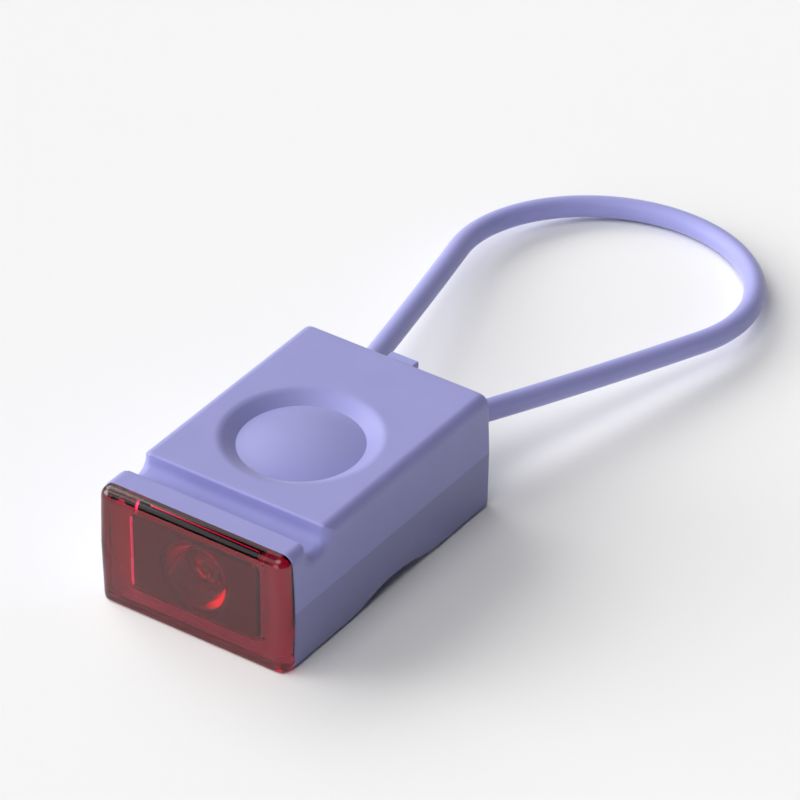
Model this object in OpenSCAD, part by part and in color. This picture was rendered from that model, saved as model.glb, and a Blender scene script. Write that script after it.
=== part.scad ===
// Rechargeable rear light for a bicycle, in millimetres.
// The origin is under the button, at the middle of the tube saddle, on the plane of the base.
// +X is to the right seen from the lens, +Y runs back towards the strap, +Z is up.

/* [Body] */
// Width across the parting line
body_w = 31.2; // [29.2:0.2:40]
// Height from the base to the top
body_h = 18.2; // [17.8:0.1:22]
// Lens face to the button axis
nose_l = 25; // [24.6:0.2:34]
// Button axis to the rear face
tail_l = 22.3; // [21.7:0.2:32.1]
// Height of the parting line
part_z = 9.1; // [6:0.1:11]
// Draw-in of each side from the parting line to the top and to the base
draft = 0.25; // [0.05:0.05:0.5]
// Radius of the long top edges
top_r = 1.6; // [0.6:0.1:2]
// Radius of the long base edges
base_r = 0.8; // [0.4:0.1:1.2]
// Radius of the rear edges
tail_r = 0.9; // [0.4:0.1:1.2]

/* [Sleeve] */
// Side wall at the parting line
side_wall = 2; // [1.6:0.1:3]
// Rear wall
rear_wall = 2; // [1.8:0.1:3]
// Silicone left above the saddle
saddle_floor = 1.35; // [1:0.05:2]
// Silicone left under the strap groove
groove_roof = 1.4; // [1:0.1:1.8]
// Radius of the tube saddle
saddle_r = 22; // [16:0.5:40]
// Depth of the tube saddle
saddle_d = 1.45; // [0.8:0.05:2]
// Lens face to the front wall of the strap groove
head_l = 5.5; // [5.4:0.1:8]
// Width of the strap groove
groove_w = 4.5; // [3.6:0.1:6]
// Depth of the strap groove
groove_d = 2.6; // [2.2:0.1:3.2]
// Radius in the bottom corners of the strap groove
groove_r = 1.5; // [0.6:0.1:1.7]

/* [Button] */
// Radius of the domed button
button_r = 8.7; // [7:0.1:9.4]
// Outer radius of the dished ring
ring_r = 11; // [9.8:0.05:12]
// Depth of the dished ring
dish_d = 1.35; // [0.8:0.05:1.6]
// Rise of the dome
dome_h = 1.2; // [0.6:0.1:2]
// Radial gap round the button
button_gap = 0.15; // [0.1:0.05:0.3]
// Overhang of the retaining flange
flange_w = 1.1; // [0.6:0.1:1.4]
// Thickness of the retaining flange
flange_t = 0.5; // [0.4:0.1:0.8]
// Skin of the button over its hollow
button_skin = 1.1; // [0.8:0.1:1.6]
// Radius of the stem
stem_r = 1.6; // [1.2:0.1:2.4]
// Press travel
press = 0.6; // [0.3:0.1:0.8]

/* [Lens] */
// Thickness of the lens front, which shows ahead of the sleeve
lens_t = 2.1; // [1.4:0.1:2.6]
// Step from the sleeve outline in to the lens outline
lens_inset = 0.05; // [0.05:0.05:0.4]
// Radius round the lens face
lens_r = 1.3; // [0.5:0.1:1.3]
// Depth of the lens seat in the sleeve
seat_d = 2.6; // [2:0.1:3]
// Sleeve wall round the lens seat
seat_wall = 0.9; // [0.9:0.1:1.8]
// Width of the pocket behind the lens front
pocket_w = 21.2; // [18:0.1:24]
// Height of the pocket behind the lens front
pocket_h = 12.5; // [12:0.1:12.8]
// Thickness of the lens gasket
gasket_t = 0.5; // [0.3:0.1:0.8]
// Fit of the lens in its seat and of the optic holder in its pocket
lens_fit = 0.1; // [0.05:0.05:0.2]

/* [Optics] */
// Radius of the collimator flange
optic_r = 5.5; // [4:0.1:5.6]
// Thickness of the collimator flange
optic_flange_t = 0.8; // [0.5:0.1:1.2]
// Width of the collimator flange ledge
optic_ledge = 0.5; // [0.3:0.1:1]
// Radius of the collimator at its LED end
optic_tail_r = 2.8; // [2.2:0.1:3]
// Radius of the dimple in the collimator face
dimple_r = 2.4; // [1.5:0.1:3]
// Depth of the dimple in the collimator face
dimple_d = 0.9; // [0.4:0.1:1.2]
// Gap round the collimator
optic_gap = 0.1; // [0.05:0.05:0.2]
// Side of the LED base
led_w = 3; // [2:0.1:3.6]
// Thickness of the LED base
led_t = 0.7; // [0.5:0.1:0.9]
// Radius of the LED dome
led_r = 1.2; // [0.8:0.1:1.3]
// Width of the LED board
led_board_w = 16; // [10:0.5:16]
// Thickness of the LED board
led_board_t = 1; // [0.6:0.1:1.6]

/* [Capsule] */
// Wall of the hard capsule inside the sleeve
shell_t = 1; // [0.8:0.1:1.2]
// Gap between the capsule and the sleeve
cap_fit = 0.1; // [0.05:0.05:0.3]
// Lens seat to the front of the capsule
cap_setback = 0.8; // [0.6:0.1:1.2]
// Radius of the screw bosses
boss_r = 1.7; // [1.5:0.1:2]
// Board end to the screw axes
boss_in = 2.2; // [2:0.1:3]
// Radius of the screw shank
screw_r = 0.7; // [0.5:0.05:0.8]
// Radius of the screw head
screw_head_r = 1.3; // [1.1:0.05:1.4]
// Length of the screw under its head
screw_l = 7; // [5:0.1:7.4]
// Gap round the screw shank
screw_gap = 0.05; // [0.02:0.01:0.1]
// Width of the cross slot in the screw head
slot_w = 0.3; // [0.2:0.05:0.4]

/* [Electronics] */
// Thickness of the main board
board_t = 1; // [0.8:0.1:1.2]
// Gap between the boards and the walls or parts beside them
board_gap = 0.2; // [0.1:0.05:0.4]
// Thickness of the tape under the cell
tape_t = 0.2; // [0.1:0.05:0.4]
// Air over the cell for its swelling
cell_air = 1; // [0.6:0.1:1.4]
// Gap between the cell and the capsule sides
cell_side = 1.9; // [1:0.1:4]
// Margin of the tape inside the cell outline
tape_in = 2; // [1:0.5:4]
// Radius of the cell leads
lead_r = 0.45; // [0.3:0.05:0.5]
// Bend radius of the cell leads
lead_bend = 1.2; // [0.8:0.1:1.4]
// Straight run of the cell leads out of the cell
lead_run = 0.5; // [0.3:0.1:0.8]
// Place of the inner lead off the middle
lead_x = 4; // [2:0.1:5]
// Spacing of the leads
lead_pitch = 2; // [1.2:0.1:2.4]
// Side of the switch case
switch_w = 4.5; // [4:0.1:6]
// Height of the switch case
switch_h = 1.6; // [1.4:0.1:1.8]
// Radius of the switch plunger
plunger_r = 1.2; // [0.8:0.1:1.5]
// Depth of the plunger root in the case at rest
plunger_in = 0.3; // [0.2:0.05:0.5]
// Running gap round the plunger
plunger_gap = 0.05; // [0.03:0.01:0.1]
// Width of the charging socket
usb_w = 7.5; // [7:0.1:8]
// Height of the charging socket
usb_h = 2.6; // [2.4:0.1:2.8]
// Length of the charging socket
usb_l = 5.6; // [5:0.1:7]
// Sheet thickness of the charging socket
usb_t = 0.3; // [0.2:0.05:0.4]
// Air between the charging socket and the capsule roof
usb_air = 0.2; // [0.1:0.05:0.4]
// Thickness of the socket tongue
tongue_t = 0.7; // [0.5:0.05:0.9]
// Pitch of the header pins
pin_pitch = 2.54; // [2:0.02:2.54]
// Side of a header pin
pin_w = 0.6; // [0.4:0.05:0.8]
// Depth of the header block along the board
header_l = 1.8; // [1.4:0.1:2]
// Height of the header block
header_h = 1.8; // [1.4:0.1:2.2]
// Side of the controller chip
chip_w = 4; // [3:0.1:5]
// Side of the charger chip
charger_w = 3; // [2:0.1:4]
// Height of the chips
chip_h = 0.9; // [0.6:0.1:1.2]
// Length of a chip capacitor, twice its width
cap_l = 1.6; // [1:0.1:2]
// Pitch of the chip capacitors
cap_pitch = 2.4; // [2:0.1:2.6]
// Length of the charge indicator, twice its width
glow_l = 1.6; // [1:0.1:2]

/* [Port flap] */
// Gap round the charging socket in the rear wall
port_gap = 0.5; // [0.4:0.05:0.7]
// Gap round the flap plug
plug_gap = 0.3; // [0.25:0.05:0.38]
// Thickness of the flap plate
flap_t = 0.9; // [0.7:0.1:1.1]
// Width of the flap plate
flap_w = 9.4; // [9.2:0.1:10]
// Height of the hinge at the foot of the flap
flap_z = 7.4; // [6:0.1:8]
// Gap round the flap plate
flap_gap = 0.12; // [0.08:0.02:0.2]
// Drop of the pull tab below the top of the body
tab_drop = 0.9; // [0.9:0.1:2]
// Width of the pull tab
tab_w = 4.4; // [3:0.1:7]
// Thickness of the pull tab
tab_t = 1.1; // [0.8:0.1:1.6]
// Reach of the pull tab behind the rear face
tab_l = 2; // [1.2:0.1:3]

/* [Strap] */
// Radius of the round strap
strap_r = 1.6; // [1.2:0.05:1.7]
// Middle of the body to each strap exit
exit_x = 7.8; // [7.5:0.1:10]
// Top of the body down to the strap exits
exit_drop = 7.7; // [7.2:0.1:8.6]
// Radius of the loop along the middle of the strap
loop_r = 21.6; // [17:0.1:28]
// Strap exits to the centre of the loop, along the strap
loop_l = 50.5; // [42:0.1:80]
// Length of each root that flexes
root_l = 5; // [4:0.5:8]
// Radius of the anchor heads inside the sleeve
anchor_r = 2.6; // [2:0.1:3]
// Thickness of the anchor heads
anchor_t = 1.2; // [0.8:0.1:1.6]
// Thickening of the strap where it passes the rear wall
strap_collar = 0.1; // [0.1:0.05:0.3]
// Gap round the strap in the rear wall
strap_gap = 0.05; // [0.03:0.01:0.2]

/* [Hidden] */
$fn = 72;
eps = 0.01;
// How far a cut runs past the face it opens
past = 5;
// Shoulder and lap where a straight run of a round strand enters its bend
bend_step = 0.02;
bend_lap = 0.3;
// Lap of the round corners of the section over the faces that they join
corner_lap = 0.0002;
rear_y = tail_l;
front_y = -nose_l;
half_w = body_w / 2;
// Front rim and lens seat of the sleeve
rim_y = front_y + lens_t;
seat_y = rim_y + seat_d;
seat_x = half_w - seat_wall;
optic_z = body_h / 2;
// Strap groove
groove_y = front_y + head_l;
groove_z = body_h - groove_d;
groove_edge = min(groove_r, groove_d, groove_w / 2);
// Cavity of the sleeve and the capsule in it
cav_z0 = saddle_d + saddle_floor;
cav_z1 = body_h - groove_d - groove_roof;
cav_x = half_w - side_wall;
cav_y1 = rear_y - rear_wall;
cap_x = cav_x - cap_fit;
cap_y0 = seat_y + cap_setback;
cap_y1 = cav_y1 - anchor_t - cap_fit;
cap_z0 = cav_z0 + cap_fit;
cap_z1 = cav_z1 - cap_fit;
in_x = cap_x - shell_t;
in_y0 = cap_y0 + shell_t;
in_y1 = cap_y1 - shell_t;
in_z0 = cap_z0 + shell_t;
in_z1 = cap_z1 - shell_t;
// Main board, hung from the roof by the charging socket that stands on it
board_z1 = in_z1 - usb_air - usb_h;
board_z0 = board_z1 - board_t;
board_x = in_x - board_gap;
led_board_y = in_y0 + board_gap;
board_y0 = led_board_y + led_board_t + 2 * board_gap;
board_y1 = in_y1 - board_gap;
// Screws
screw_x = in_x - boss_r - board_gap;
screw_y0 = board_y0 + boss_in;
screw_y1 = board_y1 - boss_in;
head_h = shell_t - cap_fit;
// Cell
cell_z0 = in_z0 + tape_t;
cell_z1 = board_z0 - cell_air;
cell_x = in_x - cell_side;
cell_y0 = screw_y0 + boss_r + 2 * board_gap;
cell_y1 = screw_y1 - boss_r - 2 * board_gap;
// Charging socket
usb_y1 = cav_y1 - board_gap;
usb_y0 = usb_y1 - usb_l;
usb_z = board_z1 + usb_h / 2;
port_w = usb_w + 2 * port_gap;
port_h = usb_h + 2 * port_gap;
// Middle of the free board beside the switch
chip_x = (switch_w / 2 + board_x) / 2;
// Switch under the button
switch_z1 = board_z1 + switch_h;
plunger_z1 = in_z1;
stem_hole_r = stem_r + 2 * button_gap;
// Button
hole_r = button_r + button_gap;
flange_r = button_r + flange_w;
flange_z0 = cap_z1 + press + cap_fit;
flange_z1 = flange_z0 + flange_t;
lip_z = flange_z1 + cap_fit;
crease_z = body_h - dish_d;
dome_r = (button_r * button_r + dome_h * dome_h) / (2 * dome_h);
// Optics, from the lens front back to the LED
holder_y0 = rim_y + lens_fit;
flange_y1 = holder_y0 + optic_gap + optic_flange_t;
optic_neck_r = optic_r - optic_ledge;
led_y = led_board_y - led_t;
optic_y1 = led_y - optic_gap;
optic_taper = (optic_neck_r - optic_tail_r) / (optic_y1 - flange_y1);
optic_hole_r = optic_tail_r + max(0, optic_y1 - cap_y0) * optic_taper + 2 * optic_gap;
// Port flap
tab_z1 = body_h - tab_drop;
tab_z0 = tab_z1 - tab_t;
plug_y0 = usb_y1 + board_gap;
// Strap loop, drooping so that its far end lies on the plane of the base
exit_z = body_h - exit_drop;
reach = sqrt(exit_x * exit_x + loop_l * loop_l);
spread = asin(loop_r / reach) - atan(exit_x / loop_l);
strand_l = sqrt(reach * reach - loop_r * loop_r);
collar_r = strap_r + strap_collar;
droop = asin((exit_z - strap_r) / (loop_l + loop_r));

// A box from one corner to the opposite corner
module box(lo, hi) {
  translate(lo) cube(hi - lo);
}

// A box with the same reach to both sides of the middle plane
module mid_box(x, lo, hi) {
  box([-x, lo[0], lo[1]], [x, hi[0], hi[1]]);
}

// A cylinder along Y from y0 to y1
module rod_y(x, z, y0, y1, r, r_end = -1) {
  translate([x, y0, z]) rotate([-90, 0, 0])
    cylinder(h = y1 - y0, r1 = r, r2 = r_end < 0 ? r : r_end);
}

// Both sides of the middle plane
module both_sides() {
  children();
  mirror([1, 0, 0]) children();
}

// A 2D rectangle whose far corners in the second axis are round
module round_end(lo, hi, r) {
  difference() {
    translate(lo) square(hi - lo);
    translate([lo[0] - eps, hi[1] - r]) square([r + eps, r + eps]);
    translate([hi[0] - r, hi[1] - r]) square([r + eps, r + eps]);
  }
  translate([lo[0] + r, hi[1] - r]) circle(r);
  translate([hi[0] - r, hi[1] - r]) circle(r);
}

// The cross-section in X and Z: drafted sides, round top and base edges, drawn in by an inset
module section(inset) {
  w = half_w - inset;
  top = body_h - inset;
  base = inset;
  // Slope of the upper and lower side faces
  up = atan(draft / (body_h - part_z));
  dn = atan(draft / part_z);
  side_up = w * cos(up) + part_z * sin(up);
  side_dn = w * cos(dn) - part_z * sin(dn);
  top_x = (side_up - top_r - (top - top_r) * sin(up)) / cos(up);
  base_x = (side_dn - base_r + (base + base_r) * sin(dn)) / cos(dn);
  right = [[base_x, base], [base_x + base_r * cos(dn), base + base_r - base_r * sin(dn)], [w, part_z],
           [top_x + top_r * cos(up), top - top_r + top_r * sin(up)], [top_x, top]];
  left = [for (i = [len(right) - 1:-1:0]) [-right[i][0], right[i][1]]];
  polygon(concat(right, left));
  both_flat() {
    translate([top_x, top - top_r]) circle(top_r + corner_lap);
    translate([base_x, base + base_r]) circle(base_r + corner_lap);
  }
}

// Both sides of the middle line in 2D
module both_flat() {
  children();
  mirror([1, 0]) children();
}

// Section extruded along Y
module long_section(inset, y0, y1) {
  translate([0, y1, 0]) rotate([90, 0, 0]) linear_extrude(y1 - y0) section(inset);
}

// A 2D shape in Y and Z extruded along X, past both sides
module across() {
  translate([-half_w - past, 0, 0]) rotate([90, 0, 90]) linear_extrude(body_w + 2 * past) children();
}

// A 2D shape in X and Y extruded along Z, past the top and the base
module upright() {
  translate([0, 0, -past]) linear_extrude(body_h + 2 * past) children();
}

// Strap groove across the top
module groove_cut() {
  y1 = groove_y + groove_w;
  r = groove_edge;
  mid_box(half_w + past, [groove_y, groove_z + r], [y1, body_h + past]);
  if (groove_w > 2 * r) mid_box(half_w + past, [groove_y + r, groove_z], [y1 - r, body_h + past]);
  for (y = [groove_y + r, y1 - r])
    translate([-half_w - past, y, groove_z + r]) rotate([0, 90, 0]) cylinder(h = body_w + 2 * past, r = r);
}

// Outer form of the sleeve before the cuts
module sleeve_form() {
  intersection() {
    long_section(0, rim_y, rear_y);
    upright() round_end([-half_w, rim_y - past], [half_w, rear_y], tail_r);
    across() mirror([1, -1]) round_end([0, rim_y - past], [body_h, rear_y], tail_r);
  }
}

module sleeve() {
  color("MediumPurple") difference() {
    sleeve_form();
    groove_cut();
    // Tube saddle
    translate([-half_w - past, 0, saddle_d - saddle_r]) rotate([0, 90, 0])
      cylinder(h = body_w + 2 * past, r = saddle_r);
    // Dished ring, button hole and flange space
    translate([0, 0, crease_z]) cylinder(h = dish_d, r1 = hole_r, r2 = ring_r);
    translate([0, 0, lip_z - eps]) cylinder(h = body_h - lip_z, r = hole_r);
    translate([0, 0, cav_z1 - eps]) cylinder(h = lip_z - cav_z1 + eps, r = flange_r + button_gap);
    // Capsule cavity and lens seat
    mid_box(cav_x, [rim_y, cav_z0], [cav_y1, cav_z1]);
    mid_box(seat_x, [rim_y - past, seat_wall], [seat_y, body_h - seat_wall]);
    // Strap exits
    both_sides() rod_y(exit_x, exit_z, cav_y1 - eps, rear_y + past, collar_r + strap_gap);
    // Flap recess and charging port
    mid_box(flap_w / 2 + flap_gap, [rear_y - flap_t, flap_z - flap_gap], [rear_y + past, tab_z1 + flap_gap]);
    mid_box(port_w / 2, [cav_y1 - eps, usb_z - port_h / 2], [rear_y, usb_z + port_h / 2]);
  }
}

module push_button() {
  inner_r = button_r - button_skin;
  skin_z = crease_z - button_skin;
  outline = [[0, plunger_z1], [stem_r, plunger_z1], [stem_r, skin_z], [inner_r, skin_z], [inner_r, flange_z0],
             [flange_r, flange_z0], [flange_r, flange_z1], [button_r, flange_z1], [button_r, body_h + past],
             [0, body_h + past]];
  color("SlateBlue") rotate_extrude() intersection() {
    polygon(outline);
    translate([0, crease_z + dome_h - dome_r]) circle(dome_r, $fn = 10 * $fn);
  }
}

// Places the loop's own plane: its X is across, its Y along the strap
module loop_plane() {
  translate([0, rear_y, exit_z]) rotate([-droop, 0, 0]) children();
}

// A length of one strand, measured from its exit
module strand(from, to) {
  translate([exit_x, 0, 0]) rotate([0, 0, -spread]) rotate([-90, 0, 0])
    translate([0, 0, from]) cylinder(h = to - from, r = strap_r - bend_step);
}

module strap_loop() {
  color("MediumSlateBlue") loop_plane() {
    both_sides() strand(root_l, strand_l + bend_lap);
    translate([0, loop_l, 0]) rotate([0, 0, -spread]) rotate_extrude(angle = 180 + 2 * spread)
      translate([loop_r, 0]) circle(strap_r);
  }
}

module strap_roots() {
  color("DarkSlateBlue") both_sides() {
    loop_plane() strand(-bend_lap, root_l);
    rod_y(exit_x, exit_z, cav_y1 - eps, rear_y, collar_r);
    rod_y(exit_x, exit_z, cav_y1 - anchor_t, cav_y1, anchor_r);
  }
}

module lens() {
  skirt_x = seat_x - lens_fit;
  skirt_z = seat_wall + lens_fit;
  color("Crimson") difference() {
    union() {
      intersection() {
        long_section(lens_inset, front_y, rim_y);
        upright() mirror([0, 1])
          round_end([-half_w, -rim_y - past], [half_w, nose_l], lens_r);
        across() mirror([1, 0]) mirror([1, -1])
          round_end([0, -rim_y - past], [body_h, nose_l], lens_r);
      }
      mid_box(skirt_x, [rim_y - eps, skirt_z], [seat_y - gasket_t, body_h - skirt_z]);
    }
    mid_box(pocket_w / 2, [rim_y, optic_z - pocket_h / 2], [seat_y + past, optic_z + pocket_h / 2]);
  }
}

module lens_gasket() {
  skirt_x = seat_x - lens_fit;
  skirt_z = seat_wall + lens_fit;
  color("WhiteSmoke") difference() {
    mid_box(skirt_x, [seat_y - gasket_t, skirt_z], [seat_y, body_h - skirt_z]);
    mid_box(pocket_w / 2, [seat_y - past, optic_z - pocket_h / 2], [seat_y + past, optic_z + pocket_h / 2]);
  }
}

module optic_holder() {
  fit_x = pocket_w / 2 - lens_fit;
  fit_z = pocket_h / 2 - lens_fit;
  color("Black") difference() {
    mid_box(fit_x, [holder_y0, optic_z - fit_z], [seat_y, optic_z + fit_z]);
    rod_y(0, optic_z, holder_y0 - past, flange_y1, optic_r + optic_gap);
    rod_y(0, optic_z, flange_y1 - eps, seat_y + past, optic_neck_r + optic_gap);
  }
  // Neck that stands on the front of the capsule
  color("Black") difference() {
    rod_y(0, optic_z, seat_y - eps, cap_y0, optic_neck_r + shell_t / 2);
    rod_y(0, optic_z, seat_y - past, cap_y0 + past, optic_neck_r + optic_gap);
    mid_box(half_w, [seat_y - past, cav_z1 - cap_fit], [cap_y0 + past, body_h + past]);
  }
}

module collimator() {
  color("WhiteSmoke") difference() {
    union() {
      rod_y(0, optic_z, holder_y0 + optic_gap, flange_y1, optic_r);
      rod_y(0, optic_z, flange_y1 - eps, optic_y1, optic_neck_r, optic_tail_r);
    }
    rod_y(0, optic_z, holder_y0 - past, holder_y0 + optic_gap + dimple_d, dimple_r);
    rod_y(0, optic_z, led_y - led_r - 3 * optic_gap, led_y + past, led_r + 3 * optic_gap);
  }
}

module led() {
  color("Red") {
    box([-led_w / 2, led_y, optic_z - led_w / 2], [led_w / 2, led_board_y, optic_z + led_w / 2]);
    difference() {
      translate([0, led_y, optic_z]) sphere(led_r);
      mid_box(led_w, [led_y + eps, optic_z - led_w], [led_y + past, optic_z + led_w]);
    }
  }
}

module led_board() {
  color("ForestGreen")
    mid_box(led_board_w / 2, [led_board_y, in_z0], [led_board_y + led_board_t, in_z1 - board_gap]);
}

// The four screw axes
module at_screws() {
  for (x = [-screw_x, screw_x], y = [screw_y0, screw_y1]) translate([x, y, 0]) children();
}

// Opening in the capsule front for the optic
module optic_port() {
  rod_y(0, optic_z, cap_y0 - past, in_y0 + eps, optic_hole_r);
}

module capsule_tray() {
  color("Silver") difference() {
    union() {
      difference() {
        mid_box(cap_x, [cap_y0, cap_z0], [cap_y1, board_z0]);
        mid_box(in_x, [in_y0, in_z0], [in_y1, board_z0 + past]);
      }
      at_screws() translate([0, 0, in_z0 - eps]) cylinder(h = board_z0 - in_z0 + eps, r = boss_r);
    }
    at_screws() translate([0, 0, in_z1 - screw_l - screw_gap])
      cylinder(h = screw_l, r = screw_r + screw_gap);
    optic_port();
  }
}

module capsule_lid() {
  color("LightSteelBlue") difference() {
    union() {
      difference() {
        mid_box(cap_x, [cap_y0, board_z0], [cap_y1, cap_z1]);
        mid_box(in_x, [in_y0, board_z0 - past], [in_y1, in_z1]);
      }
      at_screws() translate([0, 0, board_z1]) cylinder(h = in_z1 - board_z1 + eps, r = boss_r);
    }
    at_screws() {
      translate([0, 0, board_z0]) cylinder(h = body_h, r = screw_r + 2 * screw_gap);
      translate([0, 0, in_z1]) cylinder(h = body_h, r = screw_head_r + screw_gap);
    }
    translate([0, 0, in_z1 - eps]) cylinder(h = shell_t + past, r = stem_hole_r);
    optic_port();
    mid_box(usb_w / 2 + board_gap, [in_y1 - eps, board_z1 - board_gap], [cap_y1 + past, in_z1 - usb_air / 2]);
  }
}

module capsule_screws() {
  color("Gainsboro") at_screws() difference() {
    union() {
      translate([0, 0, in_z1 - screw_l]) cylinder(h = screw_l + eps, r = screw_r);
      translate([0, 0, in_z1]) cylinder(h = head_h, r = screw_head_r);
    }
    for (turn = [0, 90]) translate([0, 0, in_z1 + head_h]) rotate(turn)
      cube([2 * screw_r, slot_w, head_h], center = true);
  }
}

module main_board() {
  color("DarkGreen") difference() {
    mid_box(board_x, [board_y0, board_z0], [board_y1, board_z1]);
    at_screws() translate([0, 0, board_z0 - past]) cylinder(h = body_h, r = screw_r + 2 * screw_gap);
  }
}

// A part that stands on the main board, by its middle and its sizes
module on_board(x, y, size) {
  translate([x - size[0] / 2, y - size[1] / 2, board_z1]) cube(size);
}

module header_block() {
  color("DarkSlateGray")
    on_board(0, board_y0 + board_gap + header_l / 2, [3 * pin_pitch, header_l, header_h]);
}

module header_pins() {
  color("Gold") for (i = [-1:1])
    box([i * pin_pitch - pin_w / 2, led_board_y + led_board_t, board_z1 + header_h / 2 - pin_w / 2],
        [i * pin_pitch + pin_w / 2, board_y0 + board_gap, board_z1 + header_h / 2 + pin_w / 2]);
}

module cell() {
  color("SteelBlue") mid_box(cell_x, [cell_y0, cell_z0], [cell_y1, cell_z1]);
}

module cell_tape() {
  color("White") mid_box(cell_x - tape_in, [cell_y0 + tape_in, in_z0], [cell_y1 - tape_in, cell_z0]);
}

// One lead: out of the end of the cell, round a bend and up to the board
module lead(x) {
  z = (cell_z0 + cell_z1) / 2;
  thin_r = lead_r - bend_step;
  lap = lead_r / 4;
  rod_y(x, z, cell_y1, cell_y1 + lead_run + lap, thin_r);
  translate([x, cell_y1 + lead_run, z + lead_bend]) rotate([0, 90, 0]) rotate_extrude(angle = 90)
    translate([lead_bend, 0]) circle(lead_r);
  translate([x, cell_y1 + lead_run + lead_bend, z + lead_bend - lap])
    cylinder(h = board_z0 - z - lead_bend + lap, r = thin_r);
}

module cell_leads() {
  color("OrangeRed") for (x = [lead_x, lead_x + lead_pitch]) lead(x);
}

module switch_case() {
  color("DarkGray") difference() {
    on_board(0, 0, [switch_w, switch_w, switch_h]);
    translate([0, 0, switch_z1 - plunger_in - press - plunger_gap])
      cylinder(h = past, r = plunger_r + plunger_gap);
  }
}

module switch_plunger() {
  color("DarkRed") translate([0, 0, switch_z1 - plunger_in])
    cylinder(h = plunger_z1 - switch_z1 + plunger_in, r = plunger_r);
}

module usb_shell() {
  color("LightGray") difference() {
    mid_box(usb_w / 2, [usb_y0, board_z1], [usb_y1, board_z1 + usb_h]);
    mid_box(usb_w / 2 - usb_t, [usb_y0 + usb_t, board_z1 + usb_t], [usb_y1 + past, board_z1 + usb_h - usb_t]);
  }
}

module usb_tongue() {
  lo = usb_z - tongue_t / 2;
  color("Black") mid_box(usb_w / 2 - 4 * usb_t, [usb_y0 + usb_t, lo], [usb_y1 - usb_t, lo + tongue_t]);
}

module controller_chip() {
  color("Black") on_board(-chip_x, screw_y0 / 2, [chip_w, chip_w, chip_h]);
}

module charger_chip() {
  color("Black") on_board(chip_x, screw_y0 / 2, [charger_w, charger_w, chip_h]);
}

module chip_capacitors() {
  color("Tan") for (i = [0:2])
    on_board(chip_x, i * cap_pitch, [cap_l, cap_l / 2, cap_l / 2]);
}

module charge_light() {
  color("Lime") on_board(usb_w / 2 + glow_l, usb_y0, [glow_l / 2, glow_l, glow_l / 2]);
}

module port_flap() {
  // The plug leaves twice the gap above it, for its swing
  plug_z0 = usb_z - port_h / 2 + plug_gap;
  plug_z1 = usb_z + port_h / 2 - 2 * plug_gap;
  color("Orchid") {
    mid_box(flap_w / 2, [rear_y - flap_t, flap_z], [rear_y, tab_z1]);
    mid_box(tab_w / 2, [rear_y - eps, tab_z0], [rear_y + tab_l, tab_z1]);
    mid_box(port_w / 2 - plug_gap, [plug_y0, plug_z0], [rear_y - flap_t + eps, plug_z1]);
  }
}

sleeve();
push_button();
strap_loop();
strap_roots();
lens();
lens_gasket();
optic_holder();
collimator();
led();
led_board();
capsule_tray();
capsule_lid();
capsule_screws();
main_board();
header_block();
header_pins();
cell();
cell_tape();
cell_leads();
switch_case();
switch_plunger();
usb_shell();
usb_tongue();
controller_chip();
charger_chip();
chip_capacitors();
charge_light();
port_flap();
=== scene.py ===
"""Looks of a rechargeable bicycle rear light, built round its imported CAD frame.

Lengths in the classes are millimetres in the frame of the part: X to the right seen from the
lens, Y back to the strap, Z up, with the origin under the button on the plane of the base.
"""
import logging
import math
from collections.abc import Callable, Sequence
from dataclasses import dataclass
from enum import Enum

import bmesh
import bpy
import numpy as np
from mathutils import Matrix, Vector


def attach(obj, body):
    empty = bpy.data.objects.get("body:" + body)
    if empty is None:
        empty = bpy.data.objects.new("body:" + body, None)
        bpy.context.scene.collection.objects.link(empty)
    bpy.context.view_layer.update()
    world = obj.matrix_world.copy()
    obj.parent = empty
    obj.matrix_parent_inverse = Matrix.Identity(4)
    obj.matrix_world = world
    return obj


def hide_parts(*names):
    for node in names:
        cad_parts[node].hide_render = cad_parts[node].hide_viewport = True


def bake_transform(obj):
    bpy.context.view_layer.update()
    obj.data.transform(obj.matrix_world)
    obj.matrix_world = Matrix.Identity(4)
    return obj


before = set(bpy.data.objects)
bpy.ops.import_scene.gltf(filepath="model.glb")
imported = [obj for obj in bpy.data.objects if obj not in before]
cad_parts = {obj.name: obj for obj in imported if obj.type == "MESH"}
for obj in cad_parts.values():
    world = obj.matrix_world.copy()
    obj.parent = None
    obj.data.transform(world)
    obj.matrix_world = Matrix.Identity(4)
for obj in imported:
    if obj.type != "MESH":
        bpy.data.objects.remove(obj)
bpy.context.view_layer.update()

LOG = logging.getLogger("rear_light")
MM = 0.001
Colour = tuple[float, float, float]
Field = Callable[[np.ndarray], np.ndarray]
Socket = bpy.types.NodeSocket


class Body(Enum):
    """The moving bodies of the part."""

    LIGHT = "light"
    BUTTON = "button"
    FLAP = "flap"
    STRAP = "strap"


class Slot(Enum):
    """The material slots of the part that pieces are finished from."""

    SILICONE = "silicone"
    RED_CLEAR = "red_clear"
    WHITE_RUBBER = "white_rubber"
    BLACK_PLASTIC = "black_plastic"
    CLEAR_PLASTIC = "clear_plastic"
    LED = "led"
    BOARD = "board"
    GREY_PLASTIC = "grey_plastic"
    STEEL = "steel"
    BRASS = "brass"
    POUCH = "pouch"
    TAPE = "tape"
    LEAD_SHEATH = "lead_sheath"
    CERAMIC = "ceramic"


# Distance fields, in millimetres, negative inside the solid


def round_max(a: np.ndarray, b: np.ndarray, r: float | np.ndarray) -> np.ndarray:
    """Intersects two solids whose faces meet squarely, with a round edge.

    Args:
        a: Field of the first solid.
        b: Field of the second solid.
        r: Radius of the edge.

    Returns:
        The field of the intersection.
    """
    return np.minimum(-r, np.maximum(a, b)) + np.hypot(np.maximum(a + r, 0), np.maximum(b + r, 0))


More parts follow.
